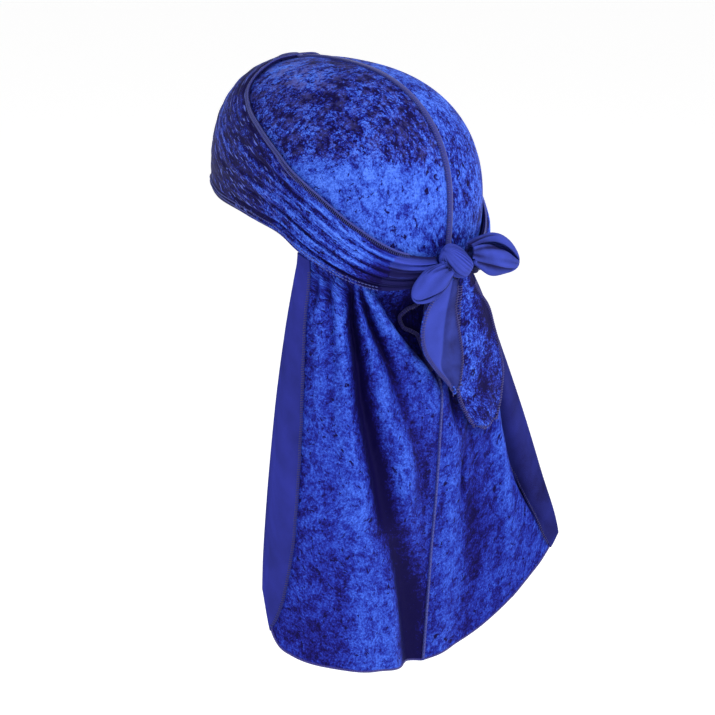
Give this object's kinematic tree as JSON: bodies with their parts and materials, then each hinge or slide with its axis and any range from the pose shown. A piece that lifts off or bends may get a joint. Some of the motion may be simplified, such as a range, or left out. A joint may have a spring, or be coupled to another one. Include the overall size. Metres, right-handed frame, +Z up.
{
  "type": "durag",
  "caption": "Crushed velvet durag in its worn form, with a wrapped front band, a bow tied at the nape and a long open cape.",
  "frame": {"origin": "inside of the crown, straight above the middle of the wearer's head", "axes": "+Z up, the wearer faces -Y, +X toward the wearer's left"},
  "size_m": [0.1961, 0.2211, 0.3876],
  "materials": {
    "velvet": "crushed velvet pile with a strong sheen",
    "reverse": "smooth matte knit, the back of the velvet",
    "thread": "seam allowance covered with cross stitches"
  },
  "bodies": {
    "root": {"panel_left": "velvet", "band_left": "velvet", "side_hem_left": "reverse", "bow_loop_left": "reverse", "panel_right": "velvet", "band_right": "velvet", "side_hem_right": "reverse", "bow_loop_right": "reverse", "tail_left": "reverse", "tail_right": "velvet", "center_seam": "thread", "bow_knot": "reverse"}
  },
  "joints": []
}
